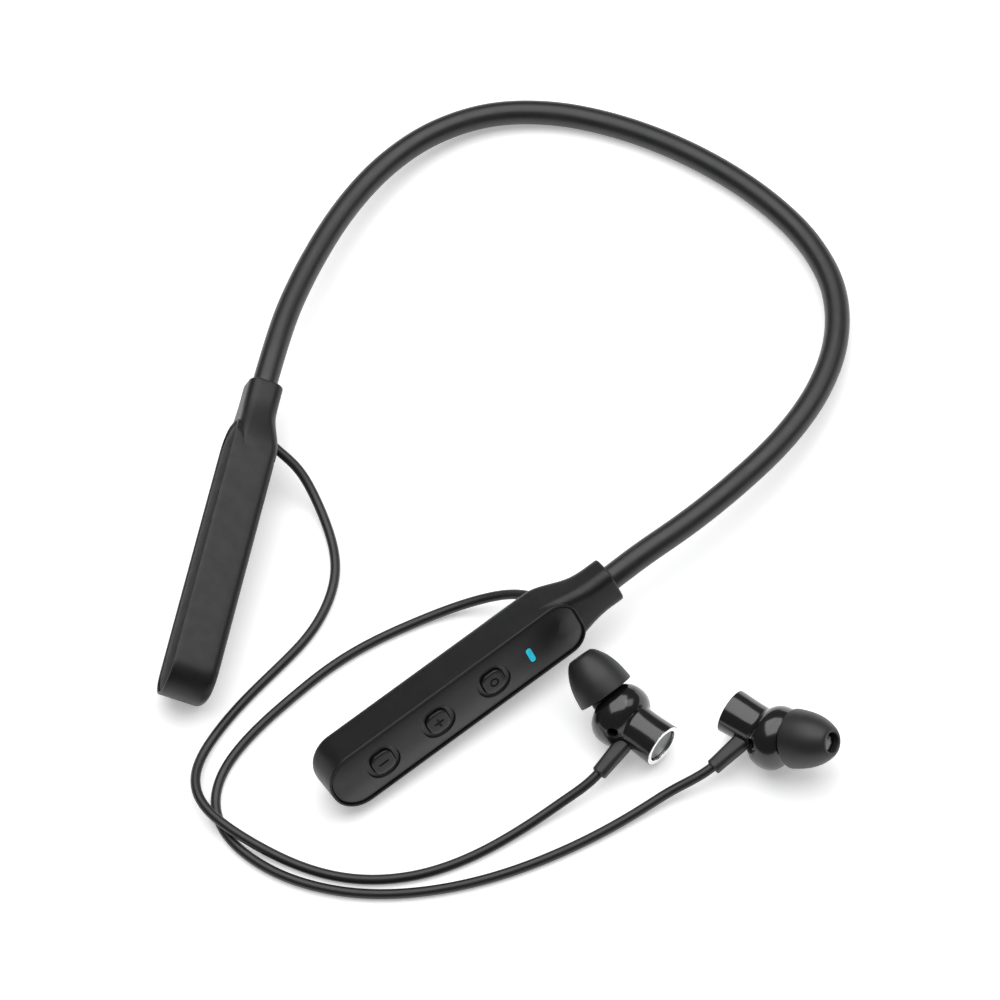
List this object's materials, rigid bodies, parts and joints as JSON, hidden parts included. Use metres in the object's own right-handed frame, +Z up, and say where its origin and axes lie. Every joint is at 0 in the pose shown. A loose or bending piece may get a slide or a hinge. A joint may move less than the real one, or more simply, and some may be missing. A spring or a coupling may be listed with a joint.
{
  "type": "neckband earphones",
  "caption": "Behind-the-neck wireless earphones: a soft U tube joins a button pod and a battery pod, and a thin cord runs from each pod to an ear bud.",
  "frame": {"origin": "centre of the base of the box round everything but the two free cords and their grommets, on the plane the set lies on", "axes": "+X from the battery pod to the control pod, +Y to the back of the neck, +Z up"},
  "size_m": [0.1823, 0.2101, 0.0211],
  "materials": {
    "soft_black": "matte soft-touch black",
    "cover_black": "matte soft-touch dark grey-black",
    "silicone": "satin black silicone",
    "tip_silicone": "matte black silicone",
    "gloss_black": "high-gloss black",
    "chrome": "bright chrome plate",
    "satin_grey": "satin dark grey",
    "cyan": "clear cyan light guide",
    "board_green": "solder-masked circuit board",
    "steel": "plain steel",
    "foil": "foil pouch"
  },
  "bodies": {
    "earphones": {"battery_board": "board_green", "battery_cell": "foil", "battery_cord": "silicone", "battery_cord_gland": "silicone", "battery_pod_cover": "cover_black", "battery_pod_shell": "soft_black", "battery_tube_anchor": "steel", "board_screw_1": "steel", "board_screw_2": "steel", "charging_port": "steel", "control_board": "board_green", "control_cord": "silicone", "control_cord_gland": "silicone", "control_pod_cover": "cover_black", "control_pod_shell": "soft_black", "control_tube_anchor": "steel", "left_bud_front_shell": "gloss_black", "left_bud_rear_shell": "gloss_black", "left_cord_boot": "silicone", "left_driver": "steel", "left_end_disc": "satin_grey", "left_end_magnet": "steel", "left_end_ring": "chrome", "left_nozzle_screen": "steel", "light_pipe": "cyan", "memory_wire": "steel", "microphone": "steel", "neckband_cable": "silicone", "neckband_tube": "silicone", "radio_module": "steel", "right_bud_front_shell": "gloss_black", "right_bud_rear_shell": "gloss_black", "right_cord_boot": "silicone", "right_driver": "steel", "right_end_disc": "satin_grey", "right_end_magnet": "steel", "right_end_ring": "chrome", "right_nozzle_screen": "steel", "tact_switch_minus": "steel", "tact_switch_multi": "steel", "tact_switch_plus": "steel"},
    "key_multi": {"button_multi": "soft_black"},
    "key_plus": {"button_plus": "soft_black"},
    "key_minus": {"button_minus": "soft_black"},
    "left_tip": {"left_ear_tip": "tip_silicone"},
    "right_tip": {"right_ear_tip": "tip_silicone"}
  },
  "joints": [
    {"name": "multi_press", "type": "slide", "parent": "earphones", "child": "key_multi", "axis": [-0.849, 0.3568, -0.3897], "range_m": [0, 0.0004], "stiffness_N_per_m": 2000, "springref_m": -0.0001},
    {"name": "plus_press", "type": "slide", "parent": "earphones", "child": "key_plus", "axis": [-0.849, 0.3568, -0.3897], "range_m": [0, 0.0004], "stiffness_N_per_m": 2000, "springref_m": -0.0001},
    {"name": "minus_press", "type": "slide", "parent": "earphones", "child": "key_minus", "axis": [-0.849, 0.3568, -0.3897], "range_m": [0, 0.0004], "stiffness_N_per_m": 2000, "springref_m": -0.0001},
    {"name": "left_tip_pull", "type": "slide", "parent": "earphones", "child": "left_tip", "axis": [-0.8297, 0.2971, 0.4726], "range_m": [0, 0.0076]},
    {"name": "right_tip_pull", "type": "slide", "parent": "earphones", "child": "right_tip", "axis": [0.8668, 0.1591, 0.4726], "range_m": [0, 0.0076]}
  ]
}
